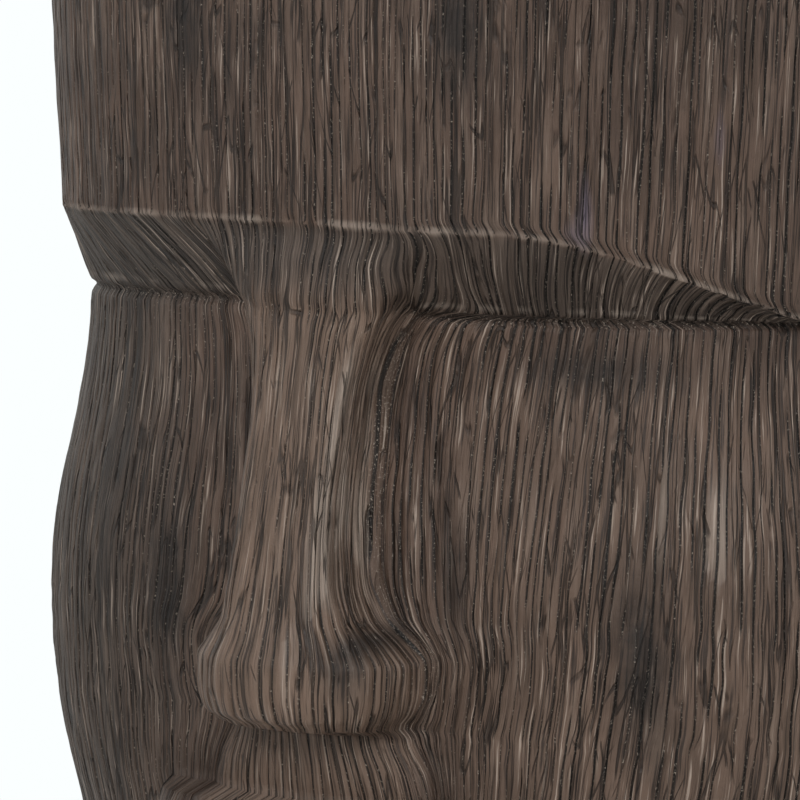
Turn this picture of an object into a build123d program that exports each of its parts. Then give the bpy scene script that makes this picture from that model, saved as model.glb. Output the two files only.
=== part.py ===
"""Standing tiki head: a hollow garden figure cast in fibre-cement in two halves.

The face shell and the back shell meet on an upright plane through the widest part of the head, where the
two halves of the mould part. Glass-fibre bandage, laid in fresh slurry, bridges the joint on the inside.
A base plate closes the bottom. It is screwed up into blocks that are bonded inside the wall, it stands on
four rubber feet, and a rubber bung in its middle opens the hollow for sand ballast.

Frame: +Z up, the face looks along -Y, and the origin is on the ground under the middle of the whole figure.
All lengths are millimetres.
"""
import os
from math import copysign, cos, pi, sin

from build123d import *

# --- Overall size -------------------------------------------------------------------------------------
total_height = 540.0
head_width = 300.0
face_depth = 124.0      # from the joint plane to the front of the forehead
back_depth = 104.0      # from the joint plane to the back of the head
wall = 8.0              # thickness of the cast shells

# --- Levels of the face, from the ground --------------------------------------------------------------
neck_level = 60.0
throat_level = 98.0
chin_level = 134.0
mouth_level = 186.0
nose_base_level = 233.0
cheek_level = 268.0
crease_level = 346.0    # where the brow's slope meets the eye sockets
ridge_level = 370.0     # the sharp lower edge of the forehead
temple_level = 436.0
crown_round = 26.0      # radius of the rounded top edge

# --- Nose, lips, chin and ears ------------------------------------------------------------------------
nose_reach = 148.0      # from the joint plane to the tip
nose_bridge_width = 27.0
nose_wing_width = 47.0
nose_flare = 9.0        # how much wider the nose is where it meets the face
philtrum_top_width = 44.0
philtrum_foot_width = 78.0
lip_width = 118.0
lip_height = 20.0
lip_reach = 131.0
mouth_gap = 1.0
philtrum_reach = 124.0
chin_width = 140.0
chin_height = 56.0
chin_reach = 128.0
feature_sink = 6.0      # how deep lips and chin are set into the face
ear_depth = 34.0        # along Y
ear_thickness = 11.0    # how far an ear stands out of the side of the head
ear_top_level = 388.0
ear_foot_level = 208.0
ear_hollow_depth = 5.0
ear_rim = 8.0

# --- Base ---------------------------------------------------------------------------------------------
rim_clearance = 6.0     # from the ground to the lower edge of the shells
foot_radius = 17.0
foot_height = 11.0
foot_margin = 3.0       # from a foot to the plate's edge
plate_thickness = 12.0
plate_gap = 1.0         # between the plate's edge and the wall
block_size = 30.0
block_height = 32.0
side_block_offset = 22.0    # of the side blocks from the joint plane
drain_radius = 4.0
hole_clearance = 0.3    # radial, of a screw in its clearance hole
pilot_clearance = 0.05  # radial, of a screw in the hole that it cuts its thread in

base_screw_radius = 2.0
base_screw_length = 40.0
base_screw_head_radius = 4.0
base_screw_head_height = 2.4
foot_screw_radius = 2.0
foot_screw_length = 16.0
foot_screw_head_radius = 4.5
foot_screw_head_height = 2.6
foot_recess_radius = 6.5
foot_recess_depth = 5.0
drive_slot_depth = 1.4
drive_slot_width = 1.0

bung_radius = 20.0      # of the hole that it closes
bung_running_gap = 0.05
bung_flange_radius = 26.0
bung_flange_thickness = 3.0
bung_proud = 3.0        # how far it stands above the plate
bung_tab = (22.0, 4.0, 4.0)

# --- Bandage ------------------------------------------------------------------------------------------
tape_width = 50.0
tape_thickness = 2.0
tape_lap_level = 470.0  # where the side tapes end and the crown tape starts
tape_gap = 1.0          # from the blocks to the lower end of the side tapes

# --- Derived ------------------------------------------------------------------------------------------
half_width = head_width / 2
axis_y = (nose_reach - back_depth) / 2      # the joint plane, so that the whole figure is centred on Y
plate_bottom = foot_height
plate_top = plate_bottom + plate_thickness
ROUND_POINTS = 24                           # points on each closed outline
FRONT = -1                                  # the face looks along -Y
BOTTOM = (Align.CENTER, Align.CENTER, Align.MIN)

# The outline of the head from below upwards: level, then its half width, front depth and back depth as
# shares of the overall ones, then how square its corners are (2 is an ellipse).
FACE_STATIONS = [
    (rim_clearance, 0.840, 0.790, 0.960, 2.7),
    (neck_level, 0.800, 0.770, 0.930, 2.6),
    (throat_level, 0.800, 0.780, 0.920, 2.5),
    (chin_level, 0.850, 0.870, 0.930, 2.5),
    (mouth_level, 0.910, 0.890, 0.950, 2.7),
    (nose_base_level, 0.970, 0.910, 0.970, 3.0),
    (cheek_level, 1.000, 0.925, 0.980, 3.0),
    (crease_level, 0.915, 0.880, 0.985, 3.0),
]
FOREHEAD_STATIONS = [
    (ridge_level, 0.930, 1.000, 0.985, 3.0),
    (temple_level, 0.955, 1.010, 1.000, 3.0),
    (total_height - crown_round, 0.972, 0.990, 0.980, 3.0),
]
CROWN_STEPS = 6         # outlines round the top edge
NECK = FACE_STATIONS[1]     # the narrowest outline beside the plate and the blocks
STEPS_BETWEEN = 3       # outlines from one station to the next, so that the profile runs smoothly
# How far the nose stands out and how wide its front is, from the brow down: level, share of the reach
# beyond the eye sockets, share of the way from bridge width to wing width.
nose_length = ridge_level - nose_base_level
socket_depth = face_depth * 0.880
NOSE_STATIONS = [
    (ridge_level - 1.0, 0.32, 0.10),
    (ridge_level - 0.30 * nose_length, 0.56, 0.0),
    (ridge_level - 0.62 * nose_length, 0.80, 0.08),
    (ridge_level - 0.82 * nose_length, 0.96, 0.70),
    (nose_base_level + 7.0, 1.00, 1.0),
    (nose_base_level, 0.90, 0.86),
]


def outline_point(angle, width, front, back, squareness):
    """A point on a rounded outline round the head's axis. Angle 0 is straight back."""
    across = copysign(abs(sin(angle)) ** (2 / squareness), sin(angle))
    along = copysign(abs(cos(angle)) ** (2 / squareness), cos(angle))
    depth = back if along > 0 else front
    return width * across, axis_y + depth * along


def outline(level, width, front, back, squareness):
    """A closed, rounded outline round the head's axis, as a face at the given level."""
    angles = [2 * pi * i / ROUND_POINTS for i in range(ROUND_POINTS)]
    points = [(*outline_point(angle, width, front, back, squareness), level) for angle in angles]
    return make_face(Spline(*points, periodic=True))


def station_outline(station, inset=0.0):
    """The head's outline at a station, moved in by inset."""
    level, width, front, back, squareness = station
    return outline(
        level,
        half_width * width - inset,
        face_depth * front - inset,
        back_depth * back - inset,
        squareness,
    )


def smooth_stations(stations):
    """The stations with others between them, on a curve whose slope at each follows its neighbours."""
    def slope(i, column):
        before, after = stations[max(i - 1, 0)], stations[min(i + 1, len(stations) - 1)]
        return (after[column] - before[column]) / (after[0] - before[0])

    smooth = []
    for i, (low, high) in enumerate(zip(stations, stations[1:])):
        span = high[0] - low[0]
        for step in range(STEPS_BETWEEN):
            t = step / STEPS_BETWEEN
            ease = t * t * (3 - 2 * t)
            row = [low[0] + span * t]
            for column in range(1, len(low)):
                bend_low = slope(i, column) * span * t * (1 - t) ** 2
                bend_high = slope(i + 1, column) * span * t * t * (t - 1)
                row.append(low[column] + (high[column] - low[column]) * ease + bend_low + bend_high)
            smooth.append(tuple(row))
    return smooth + [stations[-1]]


def head_stations():
    """Every outline of the head from the rim to the top, with the sharp brow in the middle."""
    return smooth_stations(FACE_STATIONS) + smooth_stations(FOREHEAD_STATIONS)


def head_block():
    """The head without nose, lips, chin and ears: face, sloping brow and forehead."""
    shoulder = FOREHEAD_STATIONS[-1]
    sections = [station_outline(s) for s in head_stations()]
    for step in range(1, CROWN_STEPS + 1):
        angle = pi / 2 * step / CROWN_STEPS
        level = total_height - crown_round * (1 - sin(angle))
        sections.append(station_outline((level, *shoulder[1:]), crown_round * (1 - cos(angle))))
    return loft(sections, ruled=True)


def cavity(inset):
    """The space inside the shells when the wall is that thick. It runs out through the bottom."""
    stations = head_stations()
    rim, shoulder = stations[0], stations[-1]
    below = (rim[0] - wall, *rim[1:])
    sections = [station_outline(s, inset) for s in [below, *stations]]
    roof = (total_height - inset, *shoulder[1:])
    sections.append(station_outline(roof, inset + crown_round - wall))
    return loft(sections, ruled=True)


def nose():
    """A wedge that widens from the bridge to the wings, cut flat below."""
    sections = []
    for level, reach_share, width_share in NOSE_STATIONS:
        reach = socket_depth + (nose_reach - socket_depth) * reach_share
        half = (nose_bridge_width + (nose_wing_width - nose_bridge_width) * width_share) / 2
        root = axis_y + FRONT * socket_depth / 2
        front = axis_y + FRONT * reach
        corners = [(-half, front), (half, front), (half + nose_flare, root), (-half - nose_flare, root)]
        sections.append(Pos(0, 0, level) * make_face(Polyline(*corners, close=True)))
    wedge = loft(sections)
    front_edges = wedge.edges().filter_by(lambda e: e.center().Y < axis_y - face_depth * 0.9)
    upright = front_edges.filter_by(lambda e: e.bounding_box().size.Z > nose_length / 2)
    rounded = fillet(upright, nose_bridge_width / 5)
    within_reach = Pos(0, axis_y + FRONT * nose_reach / 2, nose_base_level + nose_length / 2)
    return rounded & within_reach * Box(head_width, nose_reach, 2 * nose_length)


def front_depth(level):
    """How far the bare face reaches in front of the axis at a level."""
    stations = head_stations()
    for low, high in zip(stations, stations[1:]):
        if low[0] <= level <= high[0]:
            share = (level - low[0]) / (high[0] - low[0])
            return face_depth * (low[2] + (high[2] - low[2]) * share)
    raise ValueError("the level is outside the head")


def bulge(width, reach, height, level):
    """A rounded swelling on the front of the face."""
    root = front_depth(level) - feature_sink
    ball = scale(Sphere(1), by=(width / 2, reach - root, height / 2))
    return Pos(0, axis_y + FRONT * root, level) * ball


def philtrum():
    """The raised field from under the nose down to the upper lip."""
    top = nose_base_level + 1.0
    foot = mouth_level + lip_height / 2
    root = socket_depth / 2
    sections = []
    for level, width in ((top, philtrum_top_width), (foot, philtrum_foot_width)):
        centre = axis_y + FRONT * (philtrum_reach + root) / 2
        sections.append(Pos(0, centre, level) * Rectangle(width, philtrum_reach - root))
    return loft(sections)


def ear(side):
    """A long slab behind the joint plane, with a shallow hollow inside its rim."""
    height = ear_top_level - ear_foot_level
    middle = (ear_top_level + ear_foot_level) / 2
    widest = half_width * max(s[1] for s in FACE_STATIONS)
    centre_y = axis_y + ear_depth / 2
    slab_thickness = ear_thickness + wall * 0.8
    slab_plane = Plane(origin=(0, centre_y, middle), x_dir=(0, 1, 0), z_dir=(side, 0, 0))
    slab = extrude(slab_plane * RectangleRounded(ear_depth, height, ear_depth * 0.35), slab_thickness)
    bowl_size = (ear_depth - 2 * ear_rim, height - 3 * ear_rim)
    bowl = extrude(slab_plane * RectangleRounded(*bowl_size, bowl_size[0] * 0.45), ear_hollow_depth)
    outside = widest + ear_thickness * 0.45
    placed_slab = Pos(side * (outside - slab_thickness), 0, 0) * slab
    return placed_slab - Pos(side * (outside - ear_hollow_depth), 0, 0) * bowl


def face_features():
    """Everything that stands out of the face."""
    lip_offset = (lip_height + mouth_gap) / 2
    upper = bulge(lip_width, lip_reach, lip_height, mouth_level + lip_offset)
    lower = bulge(lip_width * 0.92, lip_reach - 1.5, lip_height, mouth_level - lip_offset)
    chin = bulge(chin_width, chin_reach, chin_height, chin_level)
    return nose() + philtrum() + upper + lower + chin


def half_space(front):
    """A block that holds everything on one side of the joint plane."""
    reach = 2 * (head_width + nose_reach)
    place = Pos(0, axis_y + (FRONT if front else -FRONT) * reach / 2, total_height / 2)
    return place * Box(reach, reach, reach + total_height)


def slab_between(low, high):
    """A wide, flat block between two levels."""
    reach = 2 * (head_width + nose_reach)
    return Pos(0, 0, (low + high) / 2) * Box(reach, reach, high - low)


def shells():
    """The two halves of the casting, hollow inside and open at the bottom."""
    hollow = cavity(wall)
    ears = ear(1) + ear(-1)
    head = head_block()
    front = (head & half_space(True)) + face_features() - hollow
    back = (head & half_space(False)) + ears - hollow
    return front & half_space(True), back & half_space(False)


def tapes():
    """The bandage inside the joint: a strip up each side, and one over the crown."""
    lining = cavity(wall) - cavity(wall + tape_thickness)
    band = Pos(0, axis_y, total_height / 2) * Box(2 * head_width, tape_width, 2 * total_height)
    strip = lining & band
    sides = strip & slab_between(plate_top + block_height + tape_gap, tape_lap_level)
    crown = strip & slab_between(tape_lap_level, total_height)
    left, right = sides.solids().sort_by(Axis.X)
    return right, left, crown


def inside_half_width(from_axis, inset):
    """Half the neck's width at a distance behind the axis (in front of it if negative), less inset."""
    _, width, front, back, squareness = NECK
    depth = (back_depth * back if from_axis > 0 else face_depth * front) - inset
    return (half_width * width - inset) * (1 - (abs(from_axis) / depth) ** squareness) ** (1 / squareness)


def block_places():
    """Middle of each fixing block on the plate: two on each side, one in front and one behind."""
    _, _, front, back, _ = NECK
    inset = wall + block_size / 2
    places = [(0.0, axis_y + FRONT * (face_depth * front - inset))]
    places.append((0.0, axis_y + back_depth * back - inset))
    for from_axis in (-side_block_offset, side_block_offset):
        across = inside_half_width(from_axis, wall) - block_size / 2
        places += [(across, axis_y + from_axis), (-across, axis_y + from_axis)]
    return places


def foot_places():
    """Middle of each rubber foot: the four corners, as near to the plate's edge as foot_margin lets it."""
    _, width, front, back, squareness = NECK
    inset = wall + plate_gap + foot_radius + foot_margin
    sizes = (half_width * width - inset, face_depth * front - inset, back_depth * back - inset, squareness)
    return [outline_point(pi * quarter / 4, *sizes) for quarter in (1, 3, 5, 7)]


def drain_places():
    """Middle of each drain hole, on the plate's two centre lines."""
    return [(half_width * 0.3, axis_y), (-half_width * 0.3, axis_y)]


def countersunk_screw():
    """A countersunk wood screw, its head's face at the origin, pointing up."""
    cone = Cone(base_screw_head_radius, base_screw_radius, base_screw_head_height, align=BOTTOM)
    shank_length = base_screw_length - base_screw_head_height - 2 * base_screw_radius
    shank = Pos(0, 0, base_screw_head_height) * Cylinder(base_screw_radius, shank_length, align=BOTTOM)
    point_place = Pos(0, 0, base_screw_head_height + shank_length)
    point = point_place * Cone(base_screw_radius, 0.3, 2 * base_screw_radius, align=BOTTOM)
    return cone + shank + point - drive_cross(base_screw_head_radius)


def pan_screw():
    """A pan-head screw, its head's face at the origin, pointing up."""
    head = Cylinder(foot_screw_head_radius, foot_screw_head_height, align=BOTTOM)
    head = fillet(head.edges().sort_by(Axis.Z)[0], foot_screw_head_height * 0.5)
    point_length = 2 * foot_screw_radius
    shank_length = foot_screw_length - point_length
    shank = Pos(0, 0, foot_screw_head_height) * Cylinder(foot_screw_radius, shank_length, align=BOTTOM)
    point_place = Pos(0, 0, foot_screw_head_height + shank_length)
    point = point_place * Cone(foot_screw_radius, 0.3, point_length, align=BOTTOM)
    return head + shank + point - drive_cross(foot_screw_head_radius)


def drive_cross(head_radius):
    """The crossed recess that a screwdriver turns."""
    length = head_radius * 1.1
    depth = 2 * drive_slot_depth
    return Box(length, drive_slot_width, depth) + Box(drive_slot_width, length, depth)


def base_plate():
    """The plate that closes the bottom, with its bung hole, drain holes and screw holes."""
    plate = cavity(wall + plate_gap) & slab_between(plate_bottom, plate_top)
    plate -= Pos(0, axis_y, plate_bottom) * Cylinder(bung_radius, 4 * plate_thickness)
    for x, y in drain_places():
        plate -= Pos(x, y, plate_bottom) * Cylinder(drain_radius, 4 * plate_thickness)
    for x, y in block_places():
        seat = Cone(
            base_screw_head_radius + hole_clearance,
            base_screw_radius + hole_clearance,
            base_screw_head_height,
            align=BOTTOM,
        )
        shaft = Cylinder(base_screw_radius + hole_clearance, 4 * plate_thickness)
        plate -= Pos(x, y, plate_bottom) * (seat + shaft)
    for x, y in foot_places():
        pilot = Cylinder(foot_screw_radius + pilot_clearance, foot_screw_length + 0.5, align=BOTTOM)
        plate -= Pos(x, y, foot_recess_depth) * pilot
    return plate


def base_blocks():
    """Blocks bonded to the wall above the plate. Each one's outer side follows the wall."""
    blocks = []
    inside = cavity(wall)
    for x, y in block_places():
        outward_x = copysign(block_size / 2, x) if x else 0.0
        outward_y = 0.0 if x else copysign(block_size / 2, y - axis_y)
        size_x, size_y = block_size + 2 * abs(outward_x), block_size + 2 * abs(outward_y)
        block_place = Pos(x + outward_x, y + outward_y, plate_top)
        block = block_place * Box(size_x, size_y, block_height, align=BOTTOM)
        pilot = Cylinder(base_screw_radius + pilot_clearance, 2 * block_height)
        blocks.append((block & inside) - Pos(x, y, plate_top) * pilot)
    return blocks


def base_screws():
    """Screws up through the plate into the blocks."""
    return [Pos(x, y, plate_bottom) * countersunk_screw() for x, y in block_places()]


def rubber_foot():
    """A foot with a recess below for its screw's head."""
    foot = Cylinder(foot_radius, foot_height, align=BOTTOM)
    foot = fillet(foot.edges().sort_by(Axis.Z)[0], 2.0)
    foot -= Cylinder(foot_recess_radius, foot_recess_depth, align=BOTTOM)
    return foot - Cylinder(foot_screw_radius + hole_clearance, 3 * foot_height)


def rubber_feet():
    return [Pos(x, y, 0) * rubber_foot() for x, y in foot_places()]


def foot_screws():
    """Screws up through the feet, their heads against the bottom of each recess."""
    level = foot_recess_depth - foot_screw_head_height
    return [Pos(x, y, level) * pan_screw() for x, y in foot_places()]


def fill_bung():
    """A rubber stopper with a flange below the plate and a tab to pull."""
    length = plate_thickness + bung_proud
    stopper = Pos(0, axis_y, plate_bottom) * Cylinder(bung_radius - bung_running_gap, length, align=BOTTOM)
    stopper = chamfer(stopper.edges().sort_by(Axis.Z)[-1], 1.5)
    flange_place = Pos(0, axis_y, plate_bottom - bung_flange_thickness)
    flange = flange_place * Cylinder(bung_flange_radius, bung_flange_thickness, align=BOTTOM)
    tab_length, tab_width, tab_height = bung_tab
    tab_place = Pos(0, axis_y, plate_bottom - bung_flange_thickness - tab_height)
    tab = tab_place * Box(tab_length, tab_width, tab_height, align=BOTTOM)
    return stopper + flange + tab


def save(name, *pieces):
    """Writes one node. Each piece in it stays a solid of its own."""
    solids = [solid for piece in pieces for solid in piece.solids()]
    export_step(solids[0] if len(solids) == 1 else Compound(children=solids), f"parts/{name}.step")


def main():
    os.makedirs("parts", exist_ok=True)
    face_shell, back_shell = shells()
    tape_left, tape_right, tape_crown = tapes()
    save("face_shell", face_shell)
    save("back_shell", back_shell)
    save("joint_tape_left", tape_left)
    save("joint_tape_right", tape_right)
    save("joint_tape_crown", tape_crown)
    save("base_plate", base_plate())
    save("base_blocks", *base_blocks())
    save("base_screws", *base_screws())
    save("rubber_feet", *rubber_feet())
    save("foot_screws", *foot_screws())
    save("fill_bung", fill_bung())


main()
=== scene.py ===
# %% [markdown]
# # A tiki head in scored, painted casting
# The figure is a hollow garden head. Its makers press a cement mix into a mould, then drag a wire through
# the fresh surface so that it looks like carved wood. Later they stain it dark and rub a paler paint over
# the high places. We load the engineered model first, and every new piece takes its place from it.

# %% Load the model and measure it
import bpy
import bmesh
import math
import numpy as np
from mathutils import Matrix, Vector


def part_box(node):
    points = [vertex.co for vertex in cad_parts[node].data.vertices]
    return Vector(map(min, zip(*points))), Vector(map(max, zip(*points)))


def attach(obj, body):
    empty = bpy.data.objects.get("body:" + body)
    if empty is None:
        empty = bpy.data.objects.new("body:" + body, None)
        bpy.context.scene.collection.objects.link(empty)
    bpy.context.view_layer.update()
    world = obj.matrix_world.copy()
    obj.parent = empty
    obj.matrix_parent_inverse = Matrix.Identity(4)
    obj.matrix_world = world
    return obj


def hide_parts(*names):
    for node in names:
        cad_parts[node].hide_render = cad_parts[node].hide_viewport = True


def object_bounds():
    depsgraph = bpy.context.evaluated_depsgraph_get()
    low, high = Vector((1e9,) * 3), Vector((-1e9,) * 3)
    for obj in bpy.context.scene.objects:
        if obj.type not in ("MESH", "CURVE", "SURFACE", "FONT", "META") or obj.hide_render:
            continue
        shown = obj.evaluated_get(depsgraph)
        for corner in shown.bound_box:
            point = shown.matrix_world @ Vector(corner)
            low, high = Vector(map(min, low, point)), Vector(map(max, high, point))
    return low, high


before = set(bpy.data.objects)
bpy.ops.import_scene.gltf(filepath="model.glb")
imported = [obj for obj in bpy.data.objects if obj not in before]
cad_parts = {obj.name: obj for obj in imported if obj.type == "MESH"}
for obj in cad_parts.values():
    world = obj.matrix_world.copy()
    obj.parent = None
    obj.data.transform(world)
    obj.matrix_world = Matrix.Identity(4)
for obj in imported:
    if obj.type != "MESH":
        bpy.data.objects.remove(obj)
cad_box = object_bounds()
MM = 0.001
chance = np.random.default_rng(41)
shell_low, shell_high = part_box("face_shell")
_, back_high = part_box("back_shell")
joint_y = shell_high.y / MM
rim_level = shell_low.z / MM
total_height = shell_high.z / MM
print("joint plane at", round(joint_y, 2), "rim", round(rim_level, 2), "top", round(total_height, 2))

# %% [markdown]
# ## The camera
# A long lens flattens the face, as when somebody looks at it from well back. The camera stands to the right
# of the face and a little above the nose. We aim it first, because everything else is judged through it.

# %% Place the camera
view_azimuth = math.radians(38.0)
view_elevation = math.radians(4.5)
view_distance = 1.300
lens_mm, sensor_mm = 204.2, 36.0
aim_left, aim_down = 0.0115, 0.011
towards_camera = Vector((
    math.sin(view_azimuth) * math.cos(view_elevation),
    -math.cos(view_azimuth) * math.cos(view_elevation),
    math.sin(view_elevation),
))
camera_right = Vector((math.cos(view_azimuth), math.sin(view_azimuth), 0))
camera_up = towards_camera.cross(camera_right)
brow_point = Vector((0, (joint_y - 60.0) * MM, 0.330))
aim = brow_point - camera_right * aim_left - camera_up * aim_down
bpy.ops.object.camera_add(location=aim + towards_camera * view_distance)
camera = bpy.context.object
camera.rotation_mode = "QUATERNION"
camera.rotation_quaternion = (-towards_camera).to_track_quat("-Z", "Y")
camera.data.lens = lens_mm
camera.data.sensor_width = sensor_mm
camera.data.clip_start = 0.05
bpy.context.scene.camera = camera
print("camera at", [round(c, 3) for c in camera.location])

# %% [markdown]
# ## The shape as a few levels
# A sculptor thinks of a head as slices. Each slice is a rounded box: its half width, how far it comes
# forward, how far it goes back, and how square its corners are. We write the slices that matter and let a
# smooth curve, which never overshoots, fill in the rest.

# %% A curve that never overshoots
def smooth_curve(at, levels, values):
    """Values at the given levels, on a smooth curve that stays between its neighbours."""
    levels, values = np.asarray(levels, float), np.asarray(values, float)
    gap = np.diff(levels)
    rise = np.diff(values) / gap
    slope = np.zeros(len(values))
    same_way = rise[:-1] * rise[1:] > 0
    pairs = rise[:-1][same_way], rise[1:][same_way]
    slope[1:-1][same_way] = 2 * pairs[0] * pairs[1] / (pairs[0] + pairs[1])
    i = np.clip(np.searchsorted(levels, at) - 1, 0, len(gap) - 1)
    t = np.clip((at - levels[i]) / gap[i], 0, 1)
    start = (1 + 2 * t) * (1 - t) ** 2 * values[i] + t * (1 - t) ** 2 * gap[i] * slope[i]
    end = t * t * (3 - 2 * t) * values[i + 1] + t * t * (t - 1) * gap[i] * slope[i + 1]
    return start + end


def between_tables(level, lower, upper, low, high):
    """Every column of two tables at each level, with a straight slope from one to the other."""
    level, lower, upper = np.asarray(level, float), np.array(lower), np.array(upper)
    share = np.clip((level - low) / (high - low), 0, 1)
    columns = []
    for column in range(1, lower.shape[1]):
        below = smooth_curve(level, lower[:, 0], lower[:, column])
        above = smooth_curve(level, upper[:, 0], upper[:, column])
        columns.append(below * (1 - share) + above * share)
    return columns


# %% Soft steps, bands and clouds
def ease(t):
    """0 to 1 with a soft start and end."""
    t = np.clip(t, 0, 1)
    return t * t * (3 - 2 * t)


def band(value, at, width):
    """1 where the value is at, and soft towards 0 on both sides."""
    return np.exp(-((value - at) / width) ** 2)


def cloud(x, level, at, size):
    """A soft oval, 1 in its middle, around (x, level) with those half sizes."""
    return np.exp(-(((x - at[0]) / size[0]) ** 2 + ((level - at[1]) / size[1]) ** 2))


# %% The slices of the head
crease_level = 346.0
ridge_level = 370.0
temple_level = 436.0
lip_field_top = 231.0
nose_base_level = 233.0
nose_tip_level = 241.0
crown_round = 26.0
shoulder_level = total_height - crown_round
wall = 8.0
# level, half width, forward, back, squareness
FACE_SLICES = [
    (rim_level, 126.0, 98.0, 99.8, 2.7),
    (60.0, 120.0, 95.5, 96.7, 2.6),
    (98.0, 120.0, 96.7, 95.7, 2.5),
    (134.0, 127.5, 107.9, 96.7, 2.5),
    (186.0, 139.5, 111.2, 98.8, 2.9),
    (233.0, 147.8, 113.6, 100.9, 3.25),
    (268.0, 149.8, 114.9, 101.9, 3.15),
    (crease_level, 137.3, 109.1, 102.4, 3.0),
]
FOREHEAD_SLICES = [
    (ridge_level, 139.5, 124.0, 102.4, 3.0),
    (temple_level, 143.3, 125.2, 103.8, 3.0),
    (shoulder_level, 145.8, 122.8, 101.9, 3.0),
]


def slice_at(level):
    """Half width, forward, back and squareness at each level, with a straight slope for the brow."""
    return between_tables(level, FACE_SLICES, FOREHEAD_SLICES, crease_level, ridge_level)


print("half width at the cheek", round(float(slice_at(268.0)[0]), 1), "mm")

# %% [markdown]
# ## What stands out of the face
# The nose and the raised field below it lie on the middle line: a mound with a half width, a rise above
# the face and a squareness. The nose is boxy between the brow and its wings and turns round there. The
# lips and the chin are low and wide, so they are added as plain swellings, each with its own outline.

# %% The middle mound, from the neck to the brow
# level, half width, rise, squareness
LOWER_MOUND = [
    (rim_level, 16.0, 0.0, 2.4),
    (204.0, 36.0, 0.0, 2.1),
    (211.0, 40.0, 8.0, 2.1),
    (220.0, 37.0, 9.5, 2.2),
    (lip_field_top, 31.0, 10.5, 2.3),
]
NOSE_MOUND = [
    (nose_base_level, 29.0, 25.5, 2.6),
    (236.5, 32.0, 30.5, 2.5),
    (243.0, 35.0, 32.0, 2.3),
    (251.0, 36.0, 31.5, 2.2),
    (257.0, 31.0, 29.4, 2.3),
    (264.0, 22.0, 26.8, 3.4),
    (275.0, 17.6, 24.4, 5.5),
    (296.0, 16.0, 21.6, 6.5),
    (320.0, 17.0, 19.4, 5.0),
    (335.0, 20.5, 18.0, 3.8),
    (crease_level, 26.0, 16.6, 3.0),
    (358.0, 33.0, 8.6, 2.6),
    (ridge_level, 40.0, 0.0, 2.2),
]


def mound_at(level):
    """Half width, rise and squareness of the mound at each level."""
    return between_tables(level, LOWER_MOUND, NOSE_MOUND, lip_field_top, nose_base_level)


# level and half height, half width, rise, squareness: the upper lip, the lower lip and the chin
SWELLINGS = [
    (199.0, 12.0, 60.0, 19.0, 2.8),
    (176.0, 10.0, 57.0, 17.5, 2.8),
    (134.0, 27.0, 71.0, 19.0, 2.3),
]
SWELLING_ROUNDNESS = 2.4


def swellings_at(x, level):
    """How far the lips and the chin stand out at each point."""
    rise = np.zeros_like(x)
    for at, half_height, half_width, most, squareness in SWELLINGS:
        outline = np.clip(1 - np.abs(x / half_width) ** squareness, 0, 1) ** (1 / squareness)
        height_share = np.abs((level - at) / half_height) ** SWELLING_ROUNDNESS
        profile = np.clip(1 - height_share, 0, 1) ** (1 / SWELLING_ROUNDNESS)
        rise = np.maximum(rise, most * outline * profile)
    return rise


nose_tip = float(slice_at(nose_tip_level)[1] + mound_at(np.array([nose_tip_level]))[1][0])
print("nose tip stands", round(nose_tip, 1), "mm before the joint")

# %% [markdown]
# ## Rows and strokes
# The wire leaves a groove every 2.5 to 3.5 mm. To cut each groove as real shape, the mesh has three columns
# of points for it: its left lip, its bottom and its right lip. The columns run the way the wire ran, down
# the forehead, in over the brow, down the nose and out round its wings.

# %% Spacing of the rows
def rows_between(marks):
    """Levels from the first mark to the last. Each mark is a level and the row spacing above it."""
    levels = []
    for (low, spacing), (high, _) in zip(marks, marks[1:]):
        count = max(1, round((high - low) / spacing))
        levels += list(np.linspace(low, high, count, endpoint=False))
    return np.array(levels + [marks[-1][0]])


face_rows = rows_between([
    (rim_level, 5.0), (104.0, 4.0), (160.0, 2.4), (214.0, 2.2), (228.0, 1.2), (238.0, 1.6), (268.0, 2.3),
    (334.0, 1.7), (crease_level - 5.0, 0.9), (crease_level + 5.0, 1.9), (ridge_level - 3.0, 1.0),
    (ridge_level + 4.0, 3.0), (450.0, 5.0), (shoulder_level, 5.0),
])
back_rows = rows_between([
    (rim_level, 5.0), (crease_level, 5.0), (ridge_level, 4.5), (shoulder_level, 5.0),
])
CROWN_ROWS = 8
TOP_ROWS = 9
print("rows up the face:", len(face_rows) + CROWN_ROWS + TOP_ROWS)


# %% Positions of the strokes across one half
PITCH_FACTORS, PITCH_ODDS = [0.62, 0.8, 1.0, 1.25, 1.7], [0.2, 0.25, 0.25, 0.2, 0.1]
WIDEST_STROKE = 0.95           # mm
STROKE_SHARE = (0.26, 0.40)    # of the way to the next stroke
END_MARGIN = 1.5               # mm without strokes at the joint


def stroke_columns(length, pitches):
    """Distances of the columns from the middle line: three for each stroke, then the edge at length."""
    places, strokes, at = [0.0], [-1], 0.0
    while True:
        pitch = np.interp(at, *pitches) * chance.choice(PITCH_FACTORS, p=PITCH_ODDS)
        width = min(WIDEST_STROKE, pitch * chance.uniform(*STROKE_SHARE))
        if at + pitch + width > length - END_MARGIN:
            break
        left = at + pitch - width
        places += [left, left + width / 2, left + width]
        strokes += [0, 1, 0]
        at += pitch
    return np.array(places + [length]), np.array(strokes + [-1])


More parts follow.
